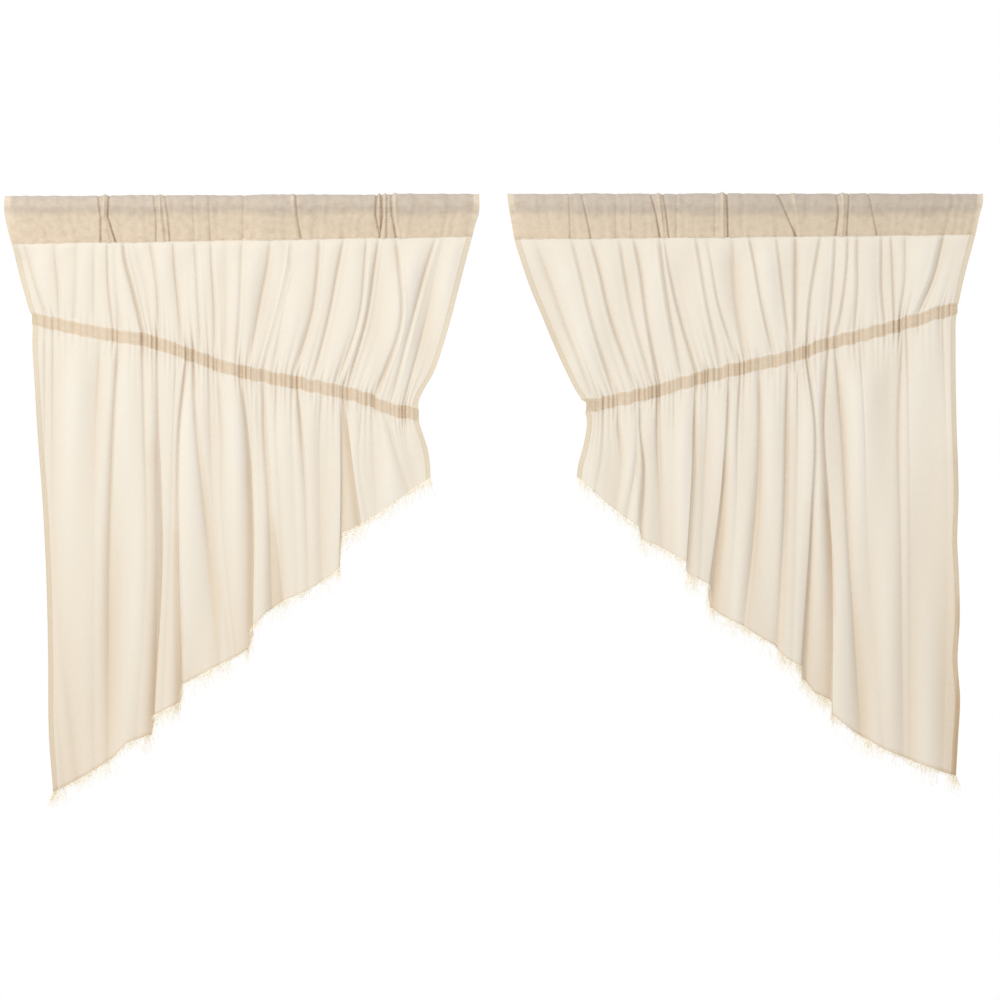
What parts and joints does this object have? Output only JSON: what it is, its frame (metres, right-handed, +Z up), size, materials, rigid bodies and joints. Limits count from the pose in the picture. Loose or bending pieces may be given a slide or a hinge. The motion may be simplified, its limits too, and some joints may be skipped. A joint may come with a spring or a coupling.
{
  "type": "swag and tail drape",
  "caption": "Short unbleached cotton window panels, slanted from a long outer tail to a short inner edge, with an open rod pocket, a slanted gathering tape and a frayed lower edge.",
  "frame": {"origin": "on the axis of the rod that the pockets take, midway between the two panels", "axes": "+X to the right along the rod as seen from the room, +Y away from the room, +Z up"},
  "size_m": [1.4889, 0.0348, 0.9343],
  "materials": {
    "panel_cotton": "thin plain-weave unbleached cotton, matt and slightly see-through",
    "pocket_cotton": "the same cotton in two layers, matt",
    "tape_cotton": "a strip of the same cotton sewn flat behind the panel, matt",
    "fringe_cotton": "loose cotton threads, matt"
  },
  "bodies": {
    "root": {"left_panel_cloth": "panel_cotton", "left_rod_pocket": "pocket_cotton", "left_gather_tape": "tape_cotton", "left_frayed_fringe": "fringe_cotton", "right_panel_cloth": "panel_cotton", "right_rod_pocket": "pocket_cotton", "right_gather_tape": "tape_cotton", "right_frayed_fringe": "fringe_cotton"}
  },
  "joints": []
}
